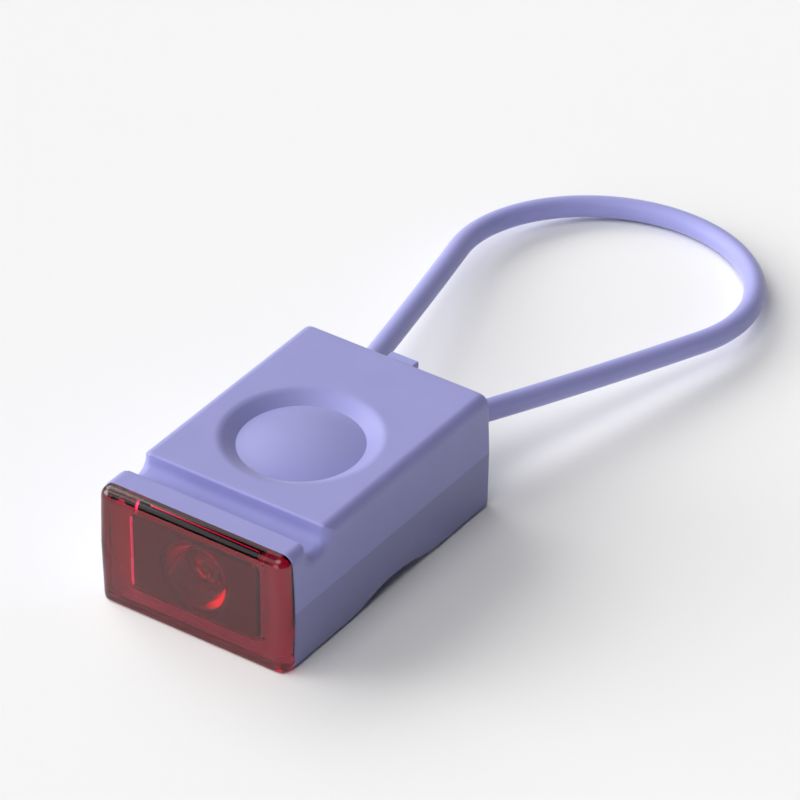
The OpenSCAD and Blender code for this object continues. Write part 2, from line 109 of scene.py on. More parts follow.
def soft_max(a: np.ndarray, b: np.ndarray, k: float) -> np.ndarray:
    """Intersects two solids whose faces meet at a blunt angle, with an eased edge.

    Args:
        a: Field of the first solid.
        b: Field of the second solid.
        k: Width of the easing, as a difference of the two fields.

    Returns:
        The field of the intersection.
    """
    ease = np.maximum(k - np.abs(a - b), 0)
    return np.maximum(a, b) + ease * ease / (4 * k)


def slab(v: np.ndarray, lo: float, hi: float) -> np.ndarray:
    """Field of the layer lo <= v <= hi."""
    return np.maximum(lo - v, v - hi)


def gradient(field: Field, p: np.ndarray, step: float = 0.02) -> np.ndarray:
    """Gradient of a field by central differences.

    Args:
        field: The field.
        p: Points, one a row.
        step: Half of the spacing of the differences.

    Returns:
        One gradient a row.
    """
    out = np.empty_like(p)
    for axis in range(3):
        shift = np.zeros(3)
        shift[axis] = step
        out[:, axis] = (field(p + shift) - field(p - shift)) / (2 * step)
    return out


@dataclass
class Skin:
    """The surface of a field, as quads with true normals.

    Attributes:
        lo: Lowest corner of the sampled box.
        hi: Highest corner of the sampled box.
        pitch: Spacing of the samples.
    """

    lo: Sequence[float]
    hi: Sequence[float]
    pitch: float

    def mesh(self, field: Field, name: str) -> bpy.types.Mesh:
        """Wraps the field in a mesh.

        Args:
            field: The field, in millimetres.
            name: Name of the mesh.

        Returns:
            The mesh, in metres.
        """
        axes = [np.arange(a, b + self.pitch, self.pitch) for a, b in zip(self.lo, self.hi)]
        shape = tuple(len(a) for a in axes)
        grid = np.stack(np.meshgrid(*axes, indexing="ij"), -1).reshape(-1, 3)
        value = field(grid).reshape(shape)
        cells, index = self._cell_points(value)
        quads = self._quads(value, index)
        p = np.array(self.lo) + cells * self.pitch
        for _ in range(6):
            g = gradient(field, p)
            d = np.clip(field(p), -self.pitch, self.pitch)
            p -= g * (d / np.maximum((g * g).sum(1), 0.25))[:, None]
        mesh = bpy.data.meshes.new(name)
        mesh.from_pydata((p * MM).tolist(), [], quads.tolist())
        mesh.update()
        normal = gradient(field, p)
        normal /= np.maximum(np.linalg.norm(normal, axis=1), 1e-9)[:, None]
        mesh.shade_smooth()
        mesh.normals_split_custom_set_from_vertices(normal.tolist())
        return mesh

    @staticmethod
    def _cell_points(value: np.ndarray) -> tuple[np.ndarray, np.ndarray]:
        """Finds the crossed cells and a point in each.

        Args:
            value: The sampled field.

        Returns:
            The points in units of the pitch, and the number of each cell's point.
        """
        n = [s - 1 for s in value.shape]
        total = np.zeros((*n, 3))
        count = np.zeros(n)
        corners = [(i, j, k) for i in (0, 1) for j in (0, 1) for k in (0, 1)]

        def part(c: tuple[int, int, int]) -> np.ndarray:
            """The samples at one corner of every cell."""
            return value[c[0]:c[0] + n[0], c[1]:c[1] + n[1], c[2]:c[2] + n[2]]

        for c in corners:
            for axis in range(3):
                if c[axis]:
                    continue
                e = tuple(1 if i == axis else c[i] for i in range(3))
                a, b = part(c), part(e)
                hit = (a < 0) != (b < 0)
                t = np.where(hit, a / np.where(hit, a - b, 1), 0)
                for i in range(3):
                    total[..., i] += np.where(hit, t if i == axis else c[i], 0)
                count += hit
        crossed = count > 0
        index = np.full(n, -1)
        index[crossed] = np.arange(int(crossed.sum()))
        points = np.argwhere(crossed) + total[crossed] / count[crossed][:, None]
        return points, index

    @staticmethod
    def _quads(value: np.ndarray, index: np.ndarray) -> np.ndarray:
        """Joins the points of the four cells round every crossed edge.

        Args:
            value: The sampled field.
            index: Number of each cell's point.

        Returns:
            Four point numbers a row.
        """
        inside = value < 0
        out = []
        for axis in range(3):
            u, v = (axis + 1) % 3, (axis + 2) % 3
            a = np.take(inside, range(value.shape[axis] - 1), axis)
            b = np.take(inside, range(1, value.shape[axis]), axis)
            at = np.argwhere(a != b)
            above = (at[:, u] > 0) & (at[:, v] > 0)
            at = at[above & (at[:, u] < index.shape[u]) & (at[:, v] < index.shape[v])]
            ring = []
            for du, dv in ((1, 1), (0, 1), (0, 0), (1, 0)):
                c = at.copy()
                c[:, u] -= du
                c[:, v] -= dv
                ring.append(index[c[:, 0], c[:, 1], c[:, 2]])
            quad = np.stack(ring, 1)
            leaves = a[at[:, 0], at[:, 1], at[:, 2]]
            out.append(np.where(leaves[:, None], quad, quad[:, ::-1]))
        return np.concatenate(out)


# Meshes made from rings and outlines


def ring_mesh(name: str, rings: Sequence[np.ndarray], crease: float = 30.0) -> bpy.types.Mesh:
    """Joins rings of equal length into a closed skin, capped at the first and the last ring.

    Args:
        name: Name of the mesh.
        rings: Points of each ring, in millimetres.
        crease: Edges sharper than this many degrees stay sharp.

    Returns:
        The mesh, in metres, with its faces outwards.
    """
    n = len(rings[0])
    faces = [list(range(n))]
    for i in range(len(rings) - 1):
        a, b = i * n, (i + 1) * n
        faces += [[a + j, a + (j + 1) % n, b + (j + 1) % n, b + j] for j in range(n)]
    faces.append(list(range((len(rings) - 1) * n, len(rings) * n)))
    return closed_mesh(name, np.concatenate(rings), faces, crease)


def closed_mesh(name: str, points: np.ndarray, faces: list, crease: float) -> bpy.types.Mesh:
    """Makes a mesh of points and faces, with doubles merged and normals outwards.

    Args:
        name: Name of the mesh.
        points: Points in millimetres.
        faces: Point numbers of each face.
        crease: Edges sharper than this many degrees stay sharp.

    Returns:
        The mesh, in metres.
    """
    mesh = bpy.data.meshes.new(name)
    mesh.from_pydata((np.asarray(points, float) * MM).tolist(), [], faces)
    bm = bmesh.new()
    bm.from_mesh(mesh)
    bmesh.ops.remove_doubles(bm, verts=bm.verts, dist=1e-7)
    bmesh.ops.recalc_face_normals(bm, faces=bm.faces)
    bm.to_mesh(mesh)
    bm.free()
    mesh.shade_smooth()
    mesh.set_sharp_from_angle(angle=math.radians(crease))
    return mesh


def lathe(
    name: str, profile: Sequence[tuple[float, float]], sides: int, axis_z: float | None = None
) -> bpy.types.Mesh:
    """Turns a profile that starts and ends on the axis into a closed solid.

    Args:
        name: Name of the mesh.
        profile: Radius and place along the axis of each point.
        sides: Faces round the axis.
        axis_z: Height of an axis along Y; without it the axis is Z.

    Returns:
        The mesh, in metres.
    """
    turn = np.linspace(0, 2 * math.pi, sides, endpoint=False)
    c, s = np.cos(turn), np.sin(turn)
    rings = []
    for r, at in profile:
        flat = np.full(sides, at)
        r = max(r, 1e-3)
        rings.append(np.stack((r * c, r * s, flat) if axis_z is None else (r * c, flat, axis_z + r * s), 1))
    return ring_mesh(name, rings)


def arc(centre: tuple[float, float], r: float, start: float, end: float, n: int) -> list[tuple[float, float]]:
    """Points on a circular arc, its angles in degrees."""
    angles = np.radians(np.linspace(start, end, n))
    return [(centre[0] + r * math.cos(a), centre[1] + r * math.sin(a)) for a in angles]


@dataclass
class Outline:
    """A cross-section in X and Z: sides drafted from a middle line, with round corners.

    Attributes:
        half: Half width at the base, the middle line and the top.
        level: Height of the base, the middle line and the top.
        radius: Corner radius at the base and the top.
        steps: Faces round each corner.
    """

    half: tuple[float, float, float]
    level: tuple[float, float, float]
    radius: tuple[float, float]
    steps: int = 8

    def ring(self, y: float, inset: float = 0.0) -> np.ndarray:
        """Points of the section drawn in by an inset.

        Args:
            y: Place along the body.
            inset: Distance drawn in.

        Returns:
            One point a row.
        """
        base, mid, top = (h - inset for h in self.half)
        z0, zm, z1 = self.level[0] + inset, self.level[1], self.level[2] - inset
        r0, r1 = (max(r - inset, 0.05) for r in self.radius)
        right = arc((base - r0, z0 + r0), r0, -90, 0, self.steps) + [(mid, zm)]
        right += arc((top - r1, z1 - r1), r1, 0, 90, self.steps)
        both = right + [(-x, z) for x, z in reversed(right)]
        return np.array([(x, y, z) for x, z in both])


# Finishes


def node_group(
    name: str, inputs: Sequence[tuple[str, str, float]], outputs: Sequence[tuple[str, str]]
) -> bpy.types.NodeTree:
    """Starts a shader node group.

    Args:
        name: Name of the group.
        inputs: Name, socket type and default of each input.
        outputs: Name and socket type of each output.

    Returns:
        The group with its input and output nodes, named In and Out.
    """
    group = bpy.data.node_groups.new(name, "ShaderNodeTree")
    for label, kind, default in inputs:
        socket = group.interface.new_socket(label, in_out="INPUT", socket_type=kind)
        if kind == "NodeSocketFloat":
            socket.default_value = default
    for label, kind in outputs:
        group.interface.new_socket(label, in_out="OUTPUT", socket_type=kind)
    group.nodes.new("NodeGroupInput").name = "In"
    group.nodes.new("NodeGroupOutput").name = "Out"
    return group


def add(tree: bpy.types.NodeTree, kind: str, **settings: object) -> bpy.types.Node:
    """Adds a node to a tree and sets its properties."""
    node = tree.nodes.new(kind)
    for key, value in settings.items():
        setattr(node, key, value)
    return node


def noise(tree: bpy.types.NodeTree, vector: Socket, scale: Socket | float, detail: float) -> Socket:
    """Adds a noise texture.

    Args:
        tree: The tree.
        vector: Coordinates.
        scale: Scale, as a number or a socket.
        detail: Octaves.

    Returns:
        The noise value.
    """
    node = add(tree, "ShaderNodeTexNoise")
    node.inputs["Detail"].default_value = detail
    tree.links.new(vector, node.inputs["Vector"])
    if isinstance(scale, float):
        node.inputs["Scale"].default_value = scale
    else:
        tree.links.new(scale, node.inputs["Scale"])
    return node.outputs["Fac"]


def ramp(tree: bpy.types.NodeTree, value: Socket, lo: float, hi: float, to_lo: float, to_hi: float) -> Socket:
    """Maps a value from one range to another."""
    node = add(tree, "ShaderNodeMapRange")
    for key, number in zip(("From Min", "From Max", "To Min", "To Max"), (lo, hi, to_lo, to_hi)):
        node.inputs[key].default_value = number
    tree.links.new(value, node.inputs["Value"])
    return node.outputs["Result"]


def mix_colour(tree: bpy.types.NodeTree, fac: Socket, a: Colour, b: Colour) -> Socket:
    """Mixes two colours by a mask."""
    node = add(tree, "ShaderNodeMix", data_type="RGBA")
    tree.links.new(fac, node.inputs["Factor"])
    sockets = [s for s in node.inputs if s.type == "RGBA"]
    sockets[0].default_value = (*a, 1)
    sockets[1].default_value = (*b, 1)
    return next(s for s in node.outputs if s.type == "RGBA")


def mould_grain() -> bpy.types.NodeTree:
    """The skin that a mould leaves: a fine grain and a broad mottle.

    Returns:
        A group with the inputs Vector, Grain and Mottle (scales), and the outputs Height and Mottle.
    """
    number = "NodeSocketFloat"
    inputs = (("Vector", "NodeSocketVector", 0), ("Grain", number, 9000), ("Mottle", number, 220))
    group = node_group("mould_grain", inputs, (("Height", number), ("Mottle", number)))
    source, sink = group.nodes["In"], group.nodes["Out"]
    fine = noise(group, source.outputs["Vector"], source.outputs["Grain"], 3.0)
    broad = noise(group, source.outputs["Vector"], source.outputs["Mottle"], 4.0)
    group.links.new(fine, sink.inputs["Height"])
    group.links.new(ramp(group, broad, 0.3, 0.7, 0, 1), sink.inputs["Mottle"])
    return group


class Paint:
    """A material being built: its tree, its Principled shader and the grain that it shares."""

    grain: bpy.types.NodeTree | None = None

    def __init__(self, name: str) -> None:
        """Starts a material of that name."""
        self.material = bpy.data.materials.new(name)
        self.material.use_nodes = True
        self.tree = self.material.node_tree
        self.shader = self.tree.nodes["Principled BSDF"]
        self.where = add(self.tree, "ShaderNodeTexCoord").outputs["Object"]

    def set(self, **values: float | Colour) -> None:
        """Sets plain values on the shader, underscores in a name standing for spaces."""
        for key, value in values.items():
            socket = self.shader.inputs[key.replace("_", " ")]
            socket.default_value = (*value, 1) if socket.type == "RGBA" else value

    def link(self, value: bpy.types.NodeSocket, name: str) -> None:
        """Links a value to an input of the shader."""
        self.tree.links.new(value, self.shader.inputs[name])

    def moulded(self, grain: float, mottle: float) -> bpy.types.Node:
        """Places the mould grain.

        Args:
            grain: Scale of the fine grain.
            mottle: Scale of the mottle.

        Returns:
            The group node.
        """
        if Paint.grain is None:
            Paint.grain = mould_grain()
        node = add(self.tree, "ShaderNodeGroup", node_tree=Paint.grain)
        self.tree.links.new(self.where, node.inputs["Vector"])
        node.inputs["Grain"].default_value = grain
        node.inputs["Mottle"].default_value = mottle
        return node

    def bump(self, height: bpy.types.NodeSocket, depth_mm: float, strength: float = 1.0) -> None:
        """Raises the surface by a height.

        Args:
            height: The height, from 0 to 1.
            depth_mm: What a height of 1 stands for.
            strength: Share of the effect.
        """
        node = add(self.tree, "ShaderNodeBump")
        node.inputs["Strength"].default_value = strength
        node.inputs["Distance"].default_value = depth_mm * MM
        self.tree.links.new(height, node.inputs["Height"])
        self.link(node.outputs["Normal"], "Normal")


@dataclass(frozen=True)
class Silicone:
    """Soft silicone rubber with the fine matte skin of its mould.

    Attributes:
        name: Material name.
        colour: Colour in the hollows of the mottle.
        worn: Colour on its heights.
        roughness: Middle roughness.
        ior: Refractive index.
        sheen: Weight of the soft bloom at the edges.
        lower_painted_shade: Painted shade below the parting line, as a share of the colour above it.
        part_z: Height of the parting line in millimetres.
        part_fade: Half of the height over which the shade changes, in millimetres.
    """

    name: str = "lavender_silicone"
    colour: Colour = (0.272, 0.272, 0.590)
    worn: Colour = (0.288, 0.288, 0.612)
    roughness: float = 0.42
    ior: float = 1.40
    sheen: float = 0.25
    lower_painted_shade: float = 1.0
    part_z: float = 9.1
    part_fade: float = 0.05

    def material(self) -> bpy.types.Material:
        """Builds the material."""
        paint = Paint(self.name)
        skin = paint.moulded(7000, 160)
        mottle = skin.outputs["Mottle"]
        apart = add(paint.tree, "ShaderNodeSeparateXYZ")
        shade = add(paint.tree, "ShaderNodeVectorMath", operation="SCALE")
        paint.tree.links.new(paint.where, apart.inputs[0])
        # Painted shade: the base colour below the parting line is darkened by lower_painted_shade.
        low, high = (self.part_z - self.part_fade) * MM, (self.part_z + self.part_fade) * MM
        half = ramp(paint.tree, apart.outputs["Z"], low, high, self.lower_painted_shade, 1)
        paint.tree.links.new(mix_colour(paint.tree, mottle, self.colour, self.worn), shade.inputs[0])
        paint.tree.links.new(half, shade.inputs["Scale"])
        paint.link(shade.outputs["Vector"], "Base Color")
        rough = ramp(paint.tree, mottle, 0, 1, self.roughness - 0.02, self.roughness + 0.02)
        paint.link(rough, "Roughness")
        paint.bump(skin.outputs["Height"], 0.02, 0.25)
        paint.set(IOR=self.ior, Sheen_Weight=self.sheen, Sheen_Roughness=0.5)
        return paint.material


@dataclass(frozen=True)
class Clear:
    """A polished clear moulding, tinted through and through."""

    name: str
    tint: Colour
    ior: float
    roughness: float = 0.02

    def material(self) -> bpy.types.Material:
        """Builds the material."""
        paint = Paint(self.name)
        skin = paint.moulded(3000, 90)
        paint.set(Base_Color=self.tint, IOR=self.ior, Transmission_Weight=1.0)
        rough = ramp(paint.tree, skin.outputs["Mottle"], 0, 1, self.roughness * 0.5, self.roughness * 1.5)
        paint.link(rough, "Roughness")
        return paint.material


@dataclass(frozen=True)
class Moulded:
    """A hard or soft moulded piece with a grained skin."""

    name: str
    colour: Colour
    lighter: Colour
    roughness: float
    grain: float = 5000.0
    depth_mm: float = 0.015

    def material(self) -> bpy.types.Material:
        """Builds the material."""
        paint = Paint(self.name)
        skin = paint.moulded(self.grain, 300)
        paint.link(mix_colour(paint.tree, skin.outputs["Mottle"], self.colour, self.lighter), "Base Color")
        rough = ramp(paint.tree, skin.outputs["Mottle"], 0, 1, self.roughness - 0.05, self.roughness + 0.05)
        paint.link(rough, "Roughness")
        paint.bump(skin.outputs["Height"], self.depth_mm, 0.4)
        return paint.material


@dataclass(frozen=True)
class Metal:
    """A plated or drawn metal with fine lines along one axis."""

    name: str
    colour: Colour
    shade: Colour
    roughness: float
    stretch: tuple[float, float, float] = (1.0, 1.0, 12.0)

    def material(self) -> bpy.types.Material:
        """Builds the material."""
        paint = Paint(self.name)
        turn = add(paint.tree, "ShaderNodeMapping")
        turn.inputs["Scale"].default_value = self.stretch
        paint.tree.links.new(paint.where, turn.inputs["Vector"])
        lines = noise(paint.tree, turn.outputs["Vector"], 1500.0, 4.0)
        paint.link(mix_colour(paint.tree, lines, self.shade, self.colour), "Base Color")
        rough = ramp(paint.tree, lines, 0.3, 0.7, self.roughness - 0.08, self.roughness + 0.08)
        paint.link(rough, "Roughness")
        paint.bump(lines, 0.004, 0.3)
        paint.set(Metallic=1.0)
        return paint.material


@dataclass(frozen=True)
class Board:
    """A circuit board: solder mask over tracks, with tinned pads."""

    name: str = "solder_mask"
    mask: Colour = (0.012, 0.110, 0.040)
    track: Colour = (0.022, 0.190, 0.070)
    pad: Colour = (0.62, 0.60, 0.56)

    def material(self) -> bpy.types.Material:
        """Builds the material."""
        paint = Paint(self.name)
        cells = add(paint.tree, "ShaderNodeTexVoronoi", feature="F1", distance="CHEBYCHEV")
        cells.inputs["Scale"].default_value = 420
        paint.tree.links.new(paint.where, cells.inputs["Vector"])
        edge = add(paint.tree, "ShaderNodeTexBrick")
        edge.inputs["Scale"].default_value = 260
        edge.inputs["Mortar Size"].default_value = 0.05
        edge.inputs["Color1"].default_value = (*self.mask, 1)
        edge.inputs["Color2"].default_value = (*self.mask, 1)
        edge.inputs["Mortar"].default_value = (*self.track, 1)
        paint.tree.links.new(paint.where, edge.inputs["Vector"])
        spot = ramp(paint.tree, cells.outputs["Distance"], 0.10, 0.12, 1, 0)
        blend = add(paint.tree, "ShaderNodeMix", data_type="RGBA")
        sockets = [s for s in blend.inputs if s.type == "RGBA"]
        paint.tree.links.new(spot, blend.inputs["Factor"])
        paint.tree.links.new(edge.outputs["Color"], sockets[0])
        sockets[1].default_value = (*self.pad, 1)
        paint.link(next(s for s in blend.outputs if s.type == "RGBA"), "Base Color")
        paint.link(spot, "Metallic")
        paint.bump(edge.outputs["Fac"], 0.02, 0.5)
        paint.set(Roughness=0.35)
        return paint.material


class Shop:
    """All finishes of the light, each made once."""

    def __init__(self) -> None:
        """Builds the materials."""
        self.silicone = Silicone().material()
        # The case carries painted shade: its colour below the parting line is darkened to 0.74.
        self.case = Silicone("lavender_case", lower_painted_shade=0.74).material()
        # Painted light: strap and flap use a lighter copy of the lavender silicone, standing in for light on
        # their tops.
        self.strap = Silicone("lavender_strap_painted_light", (0.325, 0.328, 0.690), (0.340, 0.343, 0.712)).material()
        self.lens = Clear("clear_red", (0.70, 0.010, 0.060), 1.58, 0.01).material()
        self.clear = Clear("clear_optic", (0.90, 0.90, 0.90), 1.49, 0.10).material()
        self.white_rubber = Moulded("white_rubber", (0.52, 0.52, 0.51), (0.58, 0.58, 0.57), 0.6).material()
        black, grey = (0.050, 0.050, 0.052), (0.15, 0.155, 0.165)
        self.black_plastic = Moulded("black_plastic", black, (0.062, 0.062, 0.064), 0.45).material()
        self.grey_plastic = Moulded("grey_plastic", grey, (0.19, 0.195, 0.205), 0.5).material()
        self.led = Moulded("led_dome", (0.62, 0.46, 0.16), (0.72, 0.58, 0.26), 0.2, 2000.0, 0.004).material()
        self.board = Board().material()
        self.steel = Metal("bright_steel", (0.62, 0.62, 0.62), (0.48, 0.48, 0.49), 0.28).material()
        self.brass = Metal("plated_pins", (0.72, 0.50, 0.20), (0.58, 0.38, 0.13), 0.25).material()
        foil, shade = (0.66, 0.67, 0.70), (0.52, 0.53, 0.56)
        self.pouch = Metal("laminated_pouch", foil, shade, 0.42, (1.0, 1.0, 1.0)).material()
        self.tape = Moulded("foam_tape", (0.72, 0.72, 0.68), (0.80, 0.80, 0.76), 0.9, 2500.0, 0.06).material()
        self.leads = Moulded("lead_sheath", (0.30, 0.012, 0.012), (0.36, 0.02, 0.018), 0.5).material()
        self.ceramic = Moulded("ceramic_chip", (0.34, 0.22, 0.11), (0.42, 0.29, 0.16), 0.55).material()


def piece(mesh: bpy.types.Mesh, material: bpy.types.Material, slot: Slot, *nodes: str) -> bpy.types.Object:
    """Puts a finished mesh into the scene, standing for CAD nodes.

    Args:
        mesh: The mesh, in its place.
        material: Its finish.
        slot: Material slot that the finish belongs to; not used.
        nodes: CAD nodes that it stands for.

    Returns:
        The object, named as its mesh.
    """
    if not mesh.materials:
        mesh.materials.append(material)
    obj = bpy.data.objects.new(mesh.name, mesh)
    bpy.context.scene.collection.objects.link(obj)
    if nodes:
        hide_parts(*nodes)
    LOG.info("%s: %d faces, for %s", obj.name, len(mesh.polygons), ", ".join(nodes) or "itself")
    return obj


# Sub-assemblies


@dataclass
class Sleeve:
    """The silicone case: drafted sides, strap groove, dished ring, saddle, flap recess and strap feet."""

    half_w: float = 15.6
    height: float = 18.2
    rim_y: float = -22.9
    rear_y: float = 22.3
    part_z: float = 9.1
    draft: float = 0.25
    top_r: float = 1.6
    base_r: float = 0.8
    tail_r: float = 0.95
    groove: tuple[float, float, float] = (-19.5, -15.0, 15.6)
    groove_r: float = 1.5
    lip_r: float = 0.35
    head_r: float = 0.15
    ring_r: float = 11.0
    button_r: float = 8.75
    hole_r: float = 8.3
    crease_z: float = 16.85
    saddle_r: float = 22.0
    saddle_d: float = 1.45
    strap_r: float = 1.6
    foot_gap: float = 0.03
    foot_l: float = 0.7
    foot_ease: float = 0.7
    rim_r: float = 0.1
    cavity: tuple[float, float, float, float] = (13.6, 20.3, 2.8, 14.2)
    seat: tuple[float, float, float, float] = (14.7, -20.3, 0.9, 17.3)
    seat_r: float = 0.5
    hole_z: float = 13.6
    recess: tuple[float, float, float, float] = (4.82, 21.4, 7.28, 17.42)
    recess_r: float = 0.6
    recess_lip: float = 0.12
    port: tuple[float, float, float, float] = (4.25, 19.8, 9.8, 13.4)

    def field(self, p: np.ndarray) -> np.ndarray:
        """Distance field of the sleeve.

        Args:
            p: Points, one a row.

        Returns:
            One distance for each point.
        """
        x, y, z = np.abs(p[:, 0]), p[:, 1], p[:, 2]
        rho = np.hypot(x, y)
        body = round_max(self._shape(x, y, z, rho), y - self.rear_y, self.tail_r)
        body = round_max(body, self.rim_y - y, self.rim_r)
        body = self._feet(body, x, y, z)
        wide, back, low, high = self.cavity
        inner = np.maximum(np.maximum(x - wide, y - back), slab(z, low, high))
        wide, back, low, high = self.seat
        seat = np.maximum(round_max(x - wide, slab(z, low, high), self.seat_r), y - back)
        hole = np.maximum(rho - self.hole_r, self.hole_z - z)
        wide, front, low, high = self.recess
        recess = round_max(np.maximum(x - wide, front - y), slab(z, low, high), self.recess_r)
        wide, front, low, high = self.port
        port = np.maximum(np.maximum(x - wide, front - y), slab(z, low, high))
        body = round_max(body, -recess, self.recess_lip)
        for cut in (inner, seat, hole, port):
            body = np.maximum(body, -cut)
        return body

    def _shape(self, x: np.ndarray, y: np.ndarray, z: np.ndarray, rho: np.ndarray) -> np.ndarray:
        """Field of the long section with its groove, ring and saddle.

        Args:
            x: Distance from the middle plane.
            y: Place along the body.
            z: Height.
            rho: Distance from the button axis.

        Returns:
            One distance for each point.
        """
        up = math.atan(self.draft / (self.height - self.part_z))
        down = math.atan(self.draft / self.part_z)
        out, rise = x - self.half_w, z - self.part_z
        upper = out * math.cos(up) + rise * math.sin(up)
        side = np.maximum(upper, out * math.cos(down) - rise * math.sin(down))
        lo, hi, floor = self.groove
        groove = round_max(slab(y, lo, hi), floor - z, self.groove_r)
        slope = math.atan2(self.height - self.crease_z, self.ring_r - self.button_r)
        dish = (z - self.crease_z) * math.cos(slope) - (rho - self.button_r) * math.sin(slope)
        top = soft_max(z - self.height, dish, 0.35)
        top = round_max(top, -groove, np.where(y < (lo + hi) / 2, self.head_r, self.lip_r))
        saddle = np.hypot(y, z - self.saddle_d + self.saddle_r) - self.saddle_r
        base = soft_max(-z, -saddle, 0.8)
        return round_max(round_max(top, side, self.top_r), base, self.base_r)

    def _feet(self, body: np.ndarray, x: np.ndarray, y: np.ndarray, z: np.ndarray) -> np.ndarray:
        """Joins the eased feet from which the strap leaves the rear face."""
        route = Strap().strand
        start, way = route.start, route.way
        rel = np.stack((x - start[0], y - start[1], z - start[2]), 1)
        along = rel @ way
        off = np.linalg.norm(rel - along[:, None] * way, axis=1)
        foot = np.maximum(off - self.strap_r + self.foot_gap, np.abs(along) - self.foot_l)
        ease = np.maximum(self.foot_ease - np.abs(body - foot), 0)
        return np.minimum(body, foot) - ease * ease / (4 * self.foot_ease)

    def build(self, shop: Shop) -> None:
        """Builds the sleeve, which stands for its CAD node."""
        skin = Skin((-16.05, -23.35, -0.45), (16.05, 23.55, 18.65), 0.31)
        obj = piece(skin.mesh(self.field, "sleeve_skin"), shop.case, Slot.SILICONE, "sleeve")
        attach(obj, Body.LIGHT.value)


@dataclass
class Button:
    """The domed button, a soft skin that stays on the ring and gives in the middle."""

    rim_r: float = 9.15
    button_r: float = 8.75
    crease_z: float = 16.85
    dome_h: float = 1.2
    skin: float = 1.1
    stem_r: float = 1.6
    stem_z: float = 13.1

    def build(self, shop: Shop) -> None:
        """Builds the dome and the stem under it, which stand for the CAD button."""
        r = (self.button_r ** 2 + self.dome_h ** 2) / (2 * self.dome_h)
        centre = self.crease_z + self.dome_h - r
        reach = np.linspace(0, self.rim_r, 40)
        outer = [(a, centre + math.sqrt(r * r - a * a)) for a in reach]
        inner = [(a * 0.97, z - self.skin) for a, z in reversed(outer)]
        dome = piece(lathe("button_dome", outer + inner, 160), shop.silicone, Slot.SILICONE, "push_button")
        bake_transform(dome)
        top, stem_r = self.crease_z + self.dome_h - self.skin, self.stem_r
        foot = [(0, self.stem_z), (stem_r - 0.2, self.stem_z), (stem_r, self.stem_z + 0.2)]
        neck = [(stem_r, top - 0.9), (stem_r + 0.25, top - 0.35), (stem_r + 0.9, top + 0.05), (0, top + 0.1)]
        stem = piece(lathe("button_stem", foot + neck, 48), shop.silicone, Slot.SILICONE)
        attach(stem, Body.BUTTON.value)


@dataclass
class Strand:
    """One straight strand of the strap: where it leaves the rear face, and which way."""

    start: np.ndarray
    way: np.ndarray
    length: float


